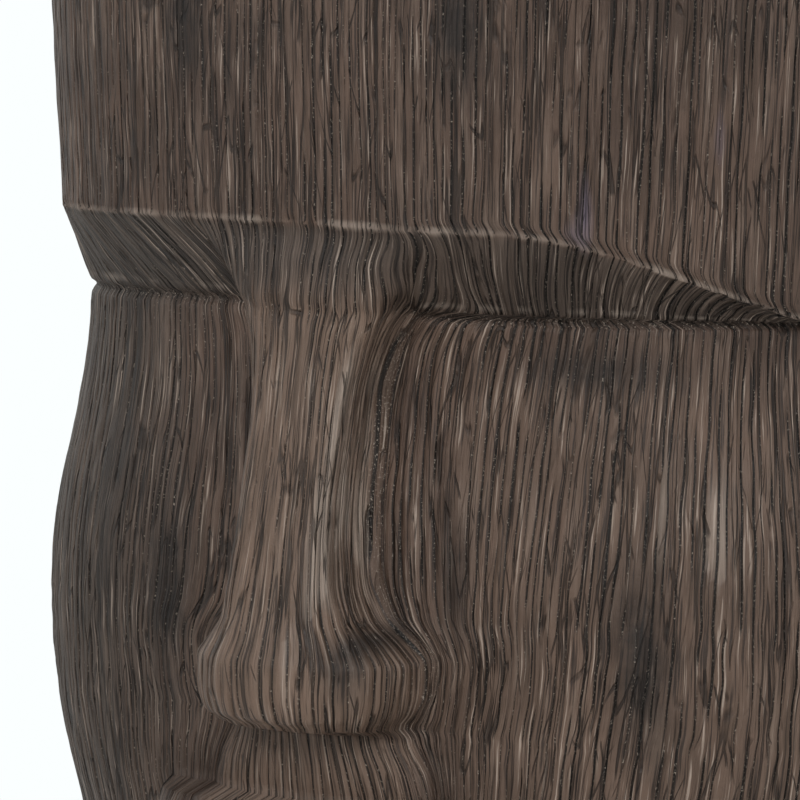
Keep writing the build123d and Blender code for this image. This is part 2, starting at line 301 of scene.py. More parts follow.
# %% Soft random fields
def soft_field(rows, columns, row_cells, column_cells):
    """A smooth random field from -1 to 1 with that many cells each way."""
    coarse = chance.uniform(-1, 1, (row_cells + 2, column_cells + 2))
    r = np.linspace(0, row_cells, rows)
    c = np.linspace(0, column_cells, columns)
    r0, c0 = np.minimum(r.astype(int), row_cells), np.minimum(c.astype(int), column_cells)
    rt, ct = ease(r - r0)[:, None], ease(c - c0)[None, :]
    top = coarse[np.ix_(r0, c0)] * (1 - ct) + coarse[np.ix_(r0, c0 + 1)] * ct
    low = coarse[np.ix_(r0 + 1, c0)] * (1 - ct) + coarse[np.ix_(r0 + 1, c0 + 1)] * ct
    return top * (1 - rt) + low * rt


# %% How deep each stroke is along its way
SHORT_SHARE, SHORT_STROKE, LONG_STROKE = 0.4, (12, 40), (40, 150)
STROKE_DEPTHS, DEPTH_ODDS = [0.45, 0.75, 1.05, 1.4], [0.25, 0.3, 0.25, 0.2]
FADE_AT_BREAK, FADE_IN, FADE_OUT = 0.6, 7.0, 9.0
LONGEST_GAP, LONGEST_LEAD = 34, 30


def stroke_depths(along, is_bottom, breaks_of):
    """Depth in mm at each row and column. A stroke starts and stops at random, and always at a break."""
    depth = np.zeros((len(along), len(is_bottom)))
    for column in np.flatnonzero(is_bottom):
        breaks = breaks_of(column)
        for low, high in zip(breaks, breaks[1:]):
            at = low - chance.uniform(0, LONGEST_LEAD)
            while at < high:
                length = chance.uniform(*(SHORT_STROKE if chance.random() < SHORT_SHARE else LONG_STROKE))
                deep = chance.choice(STROKE_DEPTHS, p=DEPTH_ODDS)
                start, stop = max(at, low), min(at + length, high)
                fade_in = FADE_AT_BREAK if start == low else FADE_IN
                fade_out = FADE_AT_BREAK if stop == high else FADE_OUT
                mark = ease((along - start) / fade_in) * ease((stop - along) / fade_out)
                depth[:, column] = np.maximum(depth[:, column], deep * mark)
                at += length + chance.uniform(0, 1) ** 2 * LONGEST_GAP
    return depth


# %% [markdown]
# ## From slices to a surface
# For every row we draw the slice as a fine line, from the middle of the nose to the joint, and walk along it
# to place the columns. The mound keeps its own share of the columns, so strokes on the nose stay on it.

# %% Walk along one slice
MOUND_REACH = 40.0     # the columns as far from the middle line as this belong to the mound
ROOT_HALF = 16.5       # below the brow the other columns spread from here
CALM_REACH = 28.0      # how quickly the strokes beside the nose stop following its outline
MOUND_STEPS, CHEEK_STEPS = 160, 520


def run_up(steps):
    """The length so far at each point of a line, from the steps between its points."""
    return np.concatenate([[0], np.cumsum(steps)])


def walk(x, depth, shares):
    """Points at those shares of a line's length."""
    length = run_up(np.hypot(np.diff(x), np.diff(depth)))
    return np.interp(shares * length[-1], length, x), np.interp(shares * length[-1], length, depth)


def slice_points(half_width, reach, squareness, mound, base, columns, half_length):
    """Half a slice: distance from the middle plane and depth from the joint, at each column."""
    mound_half, rise, mound_square = mound
    turn = np.linspace(0, math.pi / 2, MOUND_STEPS)
    x = mound_half * np.sin(turn) ** (2 / mound_square)
    face = reach * (1 - (x / half_width) ** squareness) ** (1 / squareness)
    depth = face + rise * np.cos(turn) ** (2 / mound_square)
    turn = np.linspace(0, math.pi / 2, CHEEK_STEPS)
    cheek_x = half_width * np.sin(turn) ** (2 / squareness)
    cheek_depth = reach * np.clip(np.cos(turn), 0, 1) ** (2 / squareness)
    on_mound = columns <= MOUND_REACH
    inner = walk(x, depth, columns[on_mound] / MOUND_REACH)
    beyond = columns[~on_mound] - MOUND_REACH
    whole = np.hypot(np.diff(cheek_x), np.diff(cheek_depth)).sum()
    place = base + beyond / (half_length - MOUND_REACH) * (whole - base)
    place += (mound_half - base) * np.exp(-beyond / CALM_REACH) * (1 - beyond / (half_length - MOUND_REACH))
    outer = walk(cheek_x, cheek_depth, place / whole)
    return np.concatenate([inner[0], outer[0]]), np.concatenate([inner[1], outer[1]])


# %% All slices of a shell, with the round crown and the top
def shell_rows(levels, inset):
    """Level, inset and scale of every row, from the rim to the middle of the top."""
    turn = np.linspace(0, math.pi / 2, CROWN_ROWS + 1)[1:]
    if inset == 0:
        crown = shoulder_level + crown_round * np.sin(turn)
        crown_inset = crown_round * (1 - np.cos(turn))
    else:
        share = np.arange(1, CROWN_ROWS + 1) / CROWN_ROWS
        crown = shoulder_level + (crown_round - inset) * share
        crown_inset = inset + (crown_round - inset) * share
    scale = np.concatenate([np.ones(len(levels) + CROWN_ROWS), 1 - np.arange(1, TOP_ROWS + 1) / TOP_ROWS])
    height = np.concatenate([levels, crown, np.full(TOP_ROWS, crown[-1])])
    inward = np.concatenate([np.full(len(levels), inset), crown_inset, np.full(TOP_ROWS, crown_inset[-1])])
    return height, inward, scale


def shell_surface(levels, inset, left, right, front):
    """Points of a shell's surface in mm, by row and column. Columns run to the viewer's right."""
    height, inward, scale = shell_rows(levels, inset)
    nominal = np.minimum(height, shoulder_level)
    half_width, forward, back, squareness = slice_at(nominal)
    mounds = np.array(mound_at(np.minimum(nominal, ridge_level)))
    if not front or inset > 0:
        mounds[1] = 0.0
        mounds[0] = MOUND_REACH
    base = np.full(len(height), MOUND_REACH)
    if front:
        base = np.interp(nominal, [crease_level, ridge_level], [ROOT_HALF, MOUND_REACH])
    points = np.zeros((len(height), len(left) + len(right) - 1, 3))
    for row in range(len(height)):
        reach = (forward if front else back)[row] - inward[row]
        args = (half_width[row] - inward[row], reach, squareness[row], mounds[:, row], base[row])
        x_left, depth_left = slice_points(*args, left, left[-1])
        x_right, depth_right = slice_points(*args, right, right[-1])
        x = np.concatenate([-x_left[::-1], x_right[1:]]) * scale[row]
        depth = np.concatenate([depth_left[::-1], depth_right[1:]]) * scale[row]
        side = -1 if front else 1
        if front and inset == 0 and row < len(levels):
            depth = depth + swellings_at(x, nominal[row])
        points[row] = np.stack([-side * x, joint_y + side * depth, np.full(len(x), height[row])], 1)
    return points, height, nominal


# %% [markdown]
# ## The brow's lower line
# The sharp edge of the forehead is level over the nose and sinks towards the temple, where it meets the
# crease above the cheek. On the figure's other side it stays high until it turns the corner.

# %% Let the brow sink at the temples
TEMPLE_DROP = 23.0
sink_from, sink_width, sink_bend = 55.0, 75.0, 2.2
side_depth = 75.0      # what lies nearer to the joint than this has turned the corner


def sink_brow(points, nominal):
    """Moves the rows of the brow and lower forehead down towards the temples."""
    x, depth = points[:, :, 0], joint_y - points[:, :, 1]
    level = nominal[:, None]
    near = np.clip((x - sink_from) / sink_width, 0, 1) ** sink_bend
    near = np.where((x > 0) & (depth < side_depth), np.maximum(near, 0.93), near)
    far = np.where(x < 0, ease((72.0 - depth) / 60.0) * 0.9, 0)
    points[:, :, 2] += np.interp(x, [-140, -60, 0, 45], [4.6, 3.6, 2.2, 0.0]) * band(level, 356, 28)
    drop = TEMPLE_DROP * np.maximum(near, far)
    on_brow = np.clip((level - crease_level) / (ridge_level - crease_level), 0, 1)
    above = 1 - ease((level - ridge_level) / (temple_level + 30.0 - ridge_level))
    points[:, :, 2] -= drop * np.where(level < ridge_level, on_brow, above)


# %% The surface's outward direction
def outward(points):
    """Unit normals of a grid of points whose columns and rows run right and up."""
    across = np.gradient(points, axis=1)
    up = np.gradient(points, axis=0)
    normal = np.cross(across, up)
    return normal / np.maximum(np.linalg.norm(normal, axis=2, keepdims=True), 1e-9)


# %% [markdown]
# ## Cutting the strokes
# Everything is taken off and nothing added, as with a real tool, so the head never grows past its size.

# %% How the strokes wander
WAVE, WOBBLE = 0.9, 0.42                     # mm: slow waves, and each stroke's own
CHEEK_LEAN, FOREHEAD_LEAN = 0.12, 0.035      # mm sideways for each mm up
BROW_SLANT, SWIRL = 24.0, 2.2                # mm


def drift(points, height, front, strokes):
    """How far each point slides sideways, in mm: slow waves, each stroke's own wobble and the hand's lean."""
    rows, columns = height.size, points.shape[1]
    waves = soft_field(rows, columns, 9, 30) * WAVE
    own = soft_field(rows, strokes.max() + 1, 44, strokes.max() + 1)[:, strokes] * WOBBLE
    if not front:
        return waves + own
    x = points[:, :, 0]
    level = height[:, None]
    # on the near cheek the hand leans, from the chin up to the crease
    below = ease((crease_level + 0.5 - level) / 1.6) * ease((level - 150.0) / 60.0)
    cheek = ease((x - 34.0) / 26.0) * ease((150.0 - x) / 60.0) * below
    lean = CHEEK_LEAN * (level - 285.0) * cheek
    forehead = FOREHEAD_LEAN * (level - 440.0) * ease((x - 20.0) / 60.0) * ease((level - ridge_level) / 4.0)
    # on the brow's slope the strokes fan out beside the root of the nose
    fall = (ridge_level - level) / (ridge_level - crease_level)
    on_brow = ease((level - crease_level + 1.0) / 2.5) * (fall > 0)
    beside = ease((x - 24.0) / 15.0)
    pull = (MOUND_REACH - ROOT_HALF) * fall * np.clip(1 - (x - MOUND_REACH) / 150.0, 0, 1)
    slant = fall * BROW_SLANT * np.interp(x, [30, 48, 70, 95, 130], [0.15, 0.15, 0.05, -0.05, -0.2])
    fan = (0.45 * pull + slant) * beside * on_brow
    # and they swirl round a small knob there
    swirl = SWIRL * np.sin((level - 338.0) / 5.0) * cloud(x, level, (33.0, 350.0), (7.0, 11.0))
    return waves * (1 - 0.5 * cheek) + own + lean + forehead + fan + swirl


# %% Slide the points along their rows
HELD_END = 12.0        # mm in which the slide fades at both ends of a row
LEAST_STEP = 0.008     # mm that stay between two columns, so that none fall together


def slide(points, amount):
    """Slides points along their rows by that many mm, and leaves both ends where they are."""
    moved = points.copy()
    for row in range(len(points)):
        length = run_up(np.linalg.norm(np.diff(points[row], axis=0), axis=1))
        if length[-1] < 1.0:
            continue
        hold = ease(length / HELD_END) * ease((length[-1] - length) / HELD_END)
        least = LEAST_STEP * np.arange(len(length)) * min(1.0, length[-1] / 200.0)
        target = np.maximum.accumulate(length + amount[row] * hold - least) + least
        for axis in range(3):
            moved[row, :, axis] = np.interp(target, length, points[row, :, axis])
    return moved


# %% [markdown]
# ## Stitching a shell
# Two grids make a shell: a dense one outside and a coarse one inside. They share the number of rows, so
# their sides can be stitched point to point, and one flat face closes the rim.

# %% A grid laid on given points
def lay_grid(name, points):
    """A mesh grid whose points lie where they are told to, in mm."""
    rows, columns = points.shape[:2]
    bpy.ops.object.select_all(action="DESELECT")
    bpy.ops.mesh.primitive_grid_add(x_subdivisions=columns - 1, y_subdivisions=rows - 1, size=2)
    grid = bpy.context.object
    grid.name = name
    start = np.zeros(len(grid.data.vertices) * 3)
    grid.data.vertices.foreach_get("co", start)
    start = start.reshape(-1, 3)
    column = np.rint((start[:, 0] + 1) / 2 * (columns - 1)).astype(int)
    row = np.rint((start[:, 1] + 1) / 2 * (rows - 1)).astype(int)
    grid.data.vertices.foreach_set("co", (points[row, column] * MM).ravel())
    return grid, row, column


def store(piece, name, values):
    """Keeps four numbers for each point, which a material can read."""
    kept = piece.data.attributes.new(name, "FLOAT_COLOR", "POINT")
    kept.data.foreach_set("color", values.astype(np.float32).ravel())


def unwrap_by(piece, across, along):
    """A UV map from two numbers in mm for each point, so that a pattern can follow the strokes."""
    layer = piece.data.uv_layers.new(name="strokes") if not piece.data.uv_layers else piece.data.uv_layers[0]
    layer.name = "strokes"
    corner = np.zeros(len(piece.data.loops), int)
    piece.data.loops.foreach_get("vertex_index", corner)
    layer.data.foreach_set("uv", np.stack([across[corner], along[corner]], 1).astype(np.float32).ravel() * MM)


# %% Close the gaps between the two surfaces
def close_gap(piece, points, close):
    """Picks the open edges among the given points and runs the operator that closes the gap."""
    bpy.ops.object.mode_set(mode="EDIT")
    bpy.ops.mesh.select_mode(type="EDGE")
    bpy.ops.mesh.select_all(action="DESELECT")
    bpy.ops.object.mode_set(mode="OBJECT")
    chosen = np.zeros(len(piece.data.vertices), bool)
    chosen[points] = True
    ends = np.zeros(len(piece.data.edges) * 2, int)
    piece.data.edges.foreach_get("vertices", ends)
    both = chosen[ends.reshape(-1, 2)].all(1) & open_sides(piece)
    piece.data.edges.foreach_set("select", both)
    bpy.ops.object.mode_set(mode="EDIT")
    close()
    bpy.ops.object.mode_set(mode="OBJECT")


def open_sides(piece):
    """Which edges have only one face."""
    used = np.zeros(len(piece.data.loops), int)
    piece.data.loops.foreach_get("edge_index", used)
    return np.bincount(used, minlength=len(piece.data.edges)) == 1


# %% Measure a shell
def measure(shell):
    """Prints how many triangles a shell has, how many of its edges are open, and its volume."""
    check = bmesh.new()
    check.from_mesh(shell.data)
    open_edges = sum(not e.is_manifold for e in check.edges)
    volume = check.calc_volume(signed=True) / MM ** 3
    check.free()
    triangles = sum(len(p.vertices) - 2 for p in shell.data.polygons)
    print(shell.name, "triangles", triangles, "open edges", open_edges, "volume", round(volume), "mm3")


# %% Stitch the outside to the inside
SAME_POINT = 1e-7      # metres: only the points that meet in the middle of the top are as near as this


def stitch(name, outer, inner, paint, finish):
    """One closed shell from its outer and inner surfaces, both grids of points by row and column."""
    shell, row, column = lay_grid(name, outer)
    store(shell, "paint", paint[row, column])
    store(shell, "finish", finish[row, column])
    across = run_up(np.linalg.norm(np.diff(outer, axis=1), axis=2).mean(0))
    along = run_up(np.linalg.norm(np.diff(outer, axis=0), axis=2).mean(1))
    unwrap_by(shell, across[column], along[row])
    outer_index = np.zeros(outer.shape[:2], int)
    outer_index[row, column] = np.arange(len(row))
    lining, row, column = lay_grid(name + "_lining", inner)
    lining.data.flip_normals()
    store(lining, "paint", np.zeros((len(row), 4)))
    store(lining, "finish", np.zeros((len(row), 4)))
    unwrap_by(lining, inner[row, column, 0], inner[row, column, 2])
    inner_index = np.zeros(inner.shape[:2], int)
    inner_index[row, column] = np.arange(len(row)) + len(shell.data.vertices)
    bpy.ops.object.select_all(action="DESELECT")
    lining.select_set(True)
    shell.select_set(True)
    bpy.context.view_layer.objects.active = shell
    bpy.ops.object.join()
    for edge in (0, -1):
        sides = np.concatenate([outer_index[:, edge], inner_index[:, edge]])
        close_gap(shell, sides, bpy.ops.mesh.bridge_edge_loops)
    close_gap(shell, np.concatenate([outer_index[0], inner_index[0]]), bpy.ops.mesh.fill)
    bpy.ops.object.mode_set(mode="EDIT")
    bpy.ops.mesh.select_all(action="SELECT")
    bpy.ops.mesh.remove_doubles(threshold=SAME_POINT)
    bpy.ops.mesh.normals_make_consistent(inside=False)
    bpy.ops.object.mode_set(mode="OBJECT")
    bpy.ops.object.shade_smooth()
    measure(shell)
    return shell


# %% [markdown]
# ## Where the paint and the painted light change
# The stain went on by hand and by spray. The nose was rubbed back to a warmer brown, the brow's slope and
# the far side are greyer with painted shade over them, and a few sooty clouds were sprayed over forehead and
# cheeks. Painted shade also darkens the nose's flanks, the strokes and the notch under the brow, painted
# highlights and glints lie on the crease's lip, the nose's corners and glossy places, the near cheek is
# lighter, and painted light brightens the field below the nose. We keep these as numbers on the points: how
# deep a stroke is, how sooty or shaded, how pale or highlighted, and how warm or lit.

# %% Where soot, dust, gloss and painted glints lie
# each cloud: its middle, its half sizes and its strength
SOOT_CLOUDS = [
    ((-41, 428), (8, 19), 1.0), ((54, 427), (8, 21), 1.0), ((-118, 515), (26, 16), 0.5),
    ((46, 276), (5, 17), 1.0), ((100, 257), (8, 25), 1.0), ((-58, 268), (10, 32), 0.9),
    ((-84, 292), (8, 26), 0.6), ((84, 333), (21, 6), 0.8), ((26, 254), (5, 11), 1.0),
    ((-27, 262), (5, 14), 0.5), ((70, 130), (26, 28), 0.5), ((-60, 70), (34, 22), 0.5),
    ((40, 505), (30, 14), 0.4),
]
DUST_CLOUDS = [((88, 376), (1.8, 10), 0.9), ((85, 371), (3.0, 4), 0.5), ((118, 396), (1.0, 9), 0.5)]
# the gloss clouds also place the painted glints
GLOSS_AND_GLINT_CLOUDS = [((118, 292), (5, 20), 1.0), ((104, 300), (4, 22), 0.7), ((12, 270), (5, 30), 0.6)]
FULL_CUT = 0.8         # mm deep, from where a stroke is as dark as it gets
# how much darker the forehead above the ridge is made
FOREHEAD_DARKENING = 0.19


# %% Edges that were rubbed pale, and painted highlights
EDGE_WIDTH = 1.6       # mm
# where the painted highlight on the nose's corners lies
NOSE_HIGHLIGHT_AT = 0.89       # of the nose's half width


def worn_edges_and_highlights(x, row_level, half, notch):
    """How pale the brow's worn edge is, with painted highlights on the lip of the crease and the corners of
    the nose.
    """
    edge = band(row_level - ridge_level, 0.3, EDGE_WIDTH) * (0.5 + 0.3 * soft_field(*x.shape, 3, 60))
    # painted highlight along the lip above the crease
    crease_lip_highlight = band(row_level - crease_level, 3.2, 1.3) * (0.35 + 0.3 * soft_field(*x.shape, 3, 90))
    edge = np.clip(edge + crease_lip_highlight * (notch.max(0) > 0.3), 0, 1)
    # painted highlight along the nose's front corners
    corner = band(np.abs(x) / half[:, None], NOSE_HIGHLIGHT_AT, 0.055) * ease((row_level - 258) / 14)
    corner = corner * ease((crease_level - row_level) / 20) * (0.75 + 0.25 * soft_field(*x.shape, 60, 3))
    return np.clip(edge + corner, 0, 1)


# %% All the numbers for the face
def face_tones(points, nominal, depth, notch, channel):
    """The paint and finish numbers for the face."""
    x, level = points[:, :, 0], points[:, :, 2]
    # the strokes' darkness is stain and painted shade, and the notch under the brow gets painted shadow
    cut = np.clip(np.maximum(depth / FULL_CUT, 0.28 * notch), 0, 1)
    soot_and_shade = np.zeros_like(x)
    for at, size, strength in SOOT_CLOUDS:
        soot_and_shade = np.maximum(soot_and_shade, cloud(x, level, at, size) * strength)
    row_level = nominal[:, None] + 0 * x
    half, _, _ = mound_at(np.minimum(nominal, ridge_level))
    # pale worn edges, and painted highlights on the crease's lip and the nose's corners
    edge = worn_edges_and_highlights(x, row_level, half, notch)
    # where the brow, the nose, the far side, the lighter near cheek and the field below the nose are
    in_brow = ease((row_level - crease_level + 1) / 3) * ease((ridge_level - row_level) / 2)
    on_nose = ease((half[:, None] + 3 - np.abs(x)) / 6) * ease((row_level - lip_field_top) / 3)
    on_nose = on_nose * ease((crease_level + 14 - row_level) / 18)
    far = ease((-x - 40) / 50) * (row_level < ridge_level)
    # the near cheek is made lighter
    near_cheek_lighter = 0.4 * ease((x - 34) / 20) * ease((crease_level - row_level) / 30)
    # painted light: the field below the nose is made lighter where the nose shades it
    painted_light_below_nose = ease((38 - np.abs(x)) / 8) * ease((lip_field_top - row_level) / 2) * (row_level > 206)
    # how warm or lit, sooty or shaded, grey or shaded, dusty and glossy that makes each point
    warm_and_painted_light = np.clip(on_nose + np.maximum(near_cheek_lighter, 0.8 * painted_light_below_nose), 0, 1)
    soot_and_shade = np.maximum(soot_and_shade, FOREHEAD_DARKENING * (row_level > ridge_level))
    # painted shade: the brow's downward slope and the far side get a darker grey, over greyer paint
    grey_and_shade = np.clip(in_brow * 0.75 * (1 - on_nose) + far * 0.8, 0, 1)
    dust = sum(cloud(x, level, at, size) * strength for at, size, strength in DUST_CLOUDS)
    gloss = sum(cloud(x, level, at, size) * strength for at, size, strength in GLOSS_AND_GLINT_CLOUDS)
    gloss = np.clip(gloss + 0.25 * on_nose, 0, 1)
    # strokes are paler on the nose, its flanks get painted shade, darker on the far side, and painted glints
    # shine on scraps of gloss
    cut = cut * (1 - 0.3 * on_nose)
    # painted shade on the nose's flanks
    flank_shade = ease((np.abs(x) / half[:, None] - 0.93) / 0.05) * on_nose * ease((row_level - 240) / 10)
    soot_and_shade = np.maximum(soot_and_shade, np.where(x > 0, 0.42, 0.6) * flank_shade)
    # painted glints: pale streaks on the glossy places, between the strokes
    painted_glints = 0.75 * gloss * (soft_field(*x.shape, 8, 150) > 0.3) * (cut < 0.3)
    edge = np.clip(edge + painted_glints, 0, 1)
    sandy = np.clip(channel + 0.7 * notch, 0, 1)
    return np.stack([cut, soot_and_shade, edge, warm_and_painted_light], 2), np.stack([grey_and_shade, dust, gloss, sandy], 2)


# %% [markdown]
# ## The face shell
# The front of the mould is one shell from joint to joint. We lay strokes out on both halves, draw the smooth
# face, let the strokes wander and sink the brow at the temples. Then all that the tools take away is added
# up in one number for each point, and the point moves inwards by it. That keeps every cut sharp, where a
# displacement texture would have needed far more points.

# %% Lay strokes out, and keep the edges whole
TOP_START, TOP_STEP = 20.0, 11.0       # mm from the shoulder, and for each row of the top
ROWS_KEPT = 6.0                        # rows or columns over which a cut fades before an edge


def lay_out(half_length, pitches):
    """Columns of both halves, which of them are bottoms of strokes, and the number of each one's stroke."""
    left, left_strokes = stroke_columns(half_length, pitches)
    right, right_strokes = stroke_columns(half_length, pitches)
    is_bottom = np.concatenate([left_strokes[::-1], right_strokes[1:]]) == 1
    stroke_of = np.cumsum(np.concatenate([[0], (~is_bottom[:-1]) & (~is_bottom[1:])]))
    return left, right, is_bottom, stroke_of


def way_along(nominal):
    """How far along its stroke each row lies, in mm, with the top laid out as if it went on upwards."""
    top = shoulder_level + TOP_START + TOP_STEP * np.arange(1, TOP_ROWS + 1)
    return np.concatenate([nominal[:-TOP_ROWS], top])


def fades(rows, columns):
    """Shares that go to 0 at the middle of the top and at both sides, where nothing is taken off."""
    top = ease((rows - 1 - np.arange(rows)) / ROWS_KEPT)[:, None]
    sides = ease(np.minimum(np.arange(columns), np.arange(columns)[::-1]) / ROWS_KEPT)[None, :]
    return top, sides


# %% Draw the face and let its strokes wander
half_length = 236.0
front_pitches = ([0, 40, 60, 150, 175, 236], [2.6, 2.5, 3.1, 3.2, 4.6, 5.0])
left, right, is_bottom, stroke_of = lay_out(half_length, front_pitches)
smooth_face, height, nominal = shell_surface(face_rows, 0, left, right, True)
face = slide(smooth_face, drift(smooth_face, height, True, stroke_of))
sink_brow(face, nominal)
print("strokes on the face:", int(is_bottom.sum()))

# %% Where the wire was lifted
above_all = 700.0
NOSE_LIFTS = [rim_level, 164.0, 186.5, 210.0, 231.6, ridge_level, above_all]
CHEEK_LIFTS = [rim_level, 164.0, 186.5, 212.0, crease_level, ridge_level, above_all]
SIDE_LIFTS = [rim_level, crease_level, ridge_level, above_all]
nose_reach, cheek_reach = MOUND_REACH - 6.0, 78.0
from_middle = np.concatenate([left[::-1], right[1:]])


def face_breaks(column):
    """Levels at which the wire was lifted, for a column: the nose runs on into the brow."""
    if from_middle[column] < nose_reach:
        return NOSE_LIFTS
    return CHEEK_LIFTS if from_middle[column] < cheek_reach else SIDE_LIFTS


# %% How deep the strokes and the uneven skin are
along = way_along(nominal)
along[len(face_rows):len(face_rows) + CROWN_ROWS] += 5.0 * np.arange(1, CROWN_ROWS + 1)
depth = stroke_depths(along, is_bottom, face_breaks)
rows, columns = depth.shape
top_fade, side_hold = fades(rows, columns)
depth *= top_fade * (0.85 + 0.3 * soft_field(rows, columns, 30, 80))
unevenness = 0.3 * (1 + soft_field(rows, columns, 22, 30)) + 0.16 * (1 + soft_field(rows, columns, 90, 150))
print("deepest stroke", round(float(depth.max()), 2), "mm")

# %% The notch under the brow, the channel beside the nose, chips and the knob
notch_width, channel_at, channel_width = 1.1, 2.4, 1.9      # mm
half, _, _ = mound_at(np.minimum(nominal, ridge_level))
face_x, row_level = face[:, :, 0], nominal[:, None]
outside_root = ease((np.abs(face_x) - half[:, None] + 1.0) / 6.0)
temple_fade = ease((142.0 - face_x) / 16.0)
notch = band(row_level - crease_level, -0.3, notch_width) * outside_root * temple_fade
nose_rows = ease((nominal - 236) / 8) * ease((348 - nominal) / 5)
channel = band(np.abs(face_x) - half[:, None], channel_at, channel_width) * nose_rows[:, None]
chips = band(row_level, ridge_level, EDGE_WIDTH) * ease(soft_field(rows, columns, 4, 140) * 2)
knob = cloud(face_x, row_level, (32.0, 352.0), (4.0, 5.0))
print("rows in the notch:", int((notch.max(1) > 0.5).sum()))

# %% Take it off and stitch the shell
CHIP_DEPTH, CHANNEL_DEPTH, NOTCH_DEPTH, KNOB_HEIGHT = 0.8, 2.2, 1.5, 2.0
hollows = unevenness + CHIP_DEPTH * chips + CHANNEL_DEPTH * channel + NOTCH_DEPTH * notch
taken_off = depth + hollows * top_fade - KNOB_HEIGHT * knob
face -= outward(face) * (taken_off * side_hold)[:, :, None]
face[0, :, 2] = rim_level
face[:, [0, -1], 1] = joint_y
paint, finish = face_tones(face, nominal, depth, notch, channel)
few = np.linspace(0, half_length, 13)
face_lining, _, _ = shell_surface(face_rows, wall, few, few, True)
face_piece = stitch("face_casting", face, face_lining, paint, finish)

# %% [markdown]
# ## The back shell
# Its strokes run straight down and are a little wider apart, as nobody looks at them closely. It is made as
# the face is, without the nose, the brow and the swellings.

# %% Score and stitch the back
back_half = 206.0
back_pitches = ([0, back_half], [4.0, 4.0])
back_deeper, back_full_cut, back_soot = 1.1, 0.85, 0.6
left, right, is_bottom, stroke_of = lay_out(back_half, back_pitches)
smooth_back, height, nominal = shell_surface(back_rows, 0, left, right, False)
back = slide(smooth_back, drift(smooth_back, height, False, stroke_of))
depth = stroke_depths(way_along(nominal), is_bottom, lambda column: [rim_level, above_all])
rows, columns = depth.shape
top_fade, side_hold = fades(rows, columns)
depth *= top_fade * back_deeper
unevenness = 0.4 * (1 + soft_field(rows, columns, 20, 24))
back -= outward(back) * ((depth + unevenness * top_fade) * side_hold)[:, :, None]
back[0, :, 2] = rim_level
back[:, [0, -1], 1] = joint_y

# %% Paint the back and stitch it
BACK_CLOUDS = [((-60, 430), (34, 46)), ((70, 300), (30, 60)), ((-40, 140), (46, 36)), ((90, 480), (26, 30))]
x, level = back[:, :, 0], back[:, :, 2]
soot_and_shade = np.zeros_like(x)
for at, size in BACK_CLOUDS:
    soot_and_shade = np.maximum(soot_and_shade, cloud(x, level, at, size) * back_soot)
nothing = np.zeros_like(x)
paint = np.stack([np.clip(depth / back_full_cut, 0, 1), soot_and_shade, nothing, nothing], 2)
finish = np.stack([nothing + 0.25, nothing, nothing, nothing], 2)
few_back = few / few[-1] * back_half
back_lining, _, _ = shell_surface(back_rows, wall, few_back, few_back, False)
back_piece = stitch("back_casting", back, back_lining, paint, finish)

# %% [markdown]
# ## The ears
# Each ear is a long slab with a shallow hollow, cast in one with the back. It starts as a box. The four
# edges that point sideways are bevelled until they are round, and the outer face is inset and pushed in. A
# last bevel, put on as a modifier, takes the sharpness off what is left.

# %% Box, round, inset and push in
ear_depth, ear_height, ear_level, ear_thickness = 34.0, 180.0, 298.0, 17.4
ear_outside = back_high.x / MM
ear_round = 0.35 * ear_depth
ear_margin, hollow_depth, ear_bevel = 8.0, 5.0, 1.6
# how much darker the ear's hollow is made, and the rest of the ear
hollow_darkening, ear_soot = 0.55, 0.05


def pick(piece, kind, test):
    """Selects the edges or faces of a piece that pass a test, and leaves it in edit mode."""
    bpy.ops.object.mode_set(mode="EDIT")
    bpy.ops.mesh.select_mode(type="EDGE" if kind == "edges" else "FACE")
    bpy.ops.mesh.select_all(action="DESELECT")
    bpy.ops.object.mode_set(mode="OBJECT")
    for part in getattr(piece.data, kind):
        part.select = test([piece.data.vertices[i].co / MM for i in part.vertices])
    bpy.ops.object.mode_set(mode="EDIT")


def make_ear(name, side):
    """One ear on the side given by the sign of side."""
    bpy.ops.object.select_all(action="DESELECT")
    middle = (side * (ear_outside - ear_thickness / 2), joint_y + ear_depth / 2, ear_level)
    bpy.ops.mesh.primitive_cube_add(size=1, location=[c * MM for c in middle])
    ear = bpy.context.object
    ear.name = name
    ear.scale = (ear_thickness * MM, ear_depth * MM, ear_height * MM)
    bpy.ops.object.transform_apply(location=True, rotation=True, scale=True)
    pick(ear, "edges", lambda ends: abs(ends[0].x - ends[1].x) > ear_thickness / 2)
    bpy.ops.mesh.bevel(offset=ear_round * MM, segments=8, profile=0.5, affect="EDGES")
    pick(ear, "polygons", lambda ends: min(side * end.x for end in ends) > ear_outside - 0.1)
    bpy.ops.mesh.inset(thickness=ear_margin * MM, depth=0)
    bpy.ops.transform.translate(value=(-side * hollow_depth * MM, 0, 0))
    bpy.ops.mesh.select_all(action="SELECT")
    bpy.ops.mesh.normals_make_consistent(inside=False)
    bpy.ops.object.mode_set(mode="OBJECT")
    soften = ear.modifiers.new("soften", "BEVEL")
    soften.width, soften.segments, soften.limit_method = ear_bevel * MM, 3, "ANGLE"
    bpy.ops.object.modifier_apply(modifier="soften")
    bpy.ops.object.shade_smooth_by_angle(angle=math.radians(40))
    place = np.array([v.co for v in ear.data.vertices]) / MM
    unwrap_by(ear, place[:, 1], place[:, 2])
    numbers = np.zeros((len(place), 4))
    hollow = side * place[:, 0] < ear_outside - hollow_depth / 2
    numbers[:, 1] = np.where(hollow, hollow_darkening, ear_soot)
    store(ear, "paint", numbers)
    store(ear, "finish", np.tile([0.3, 0, 0, 0.1], (len(place), 1)))
    return ear


ears = [make_ear("ear_left", 1), make_ear("ear_right", -1)]
print("ears reach", [round(max(abs(v.co.x) for v in e.data.vertices) / MM, 1) for e in ears])

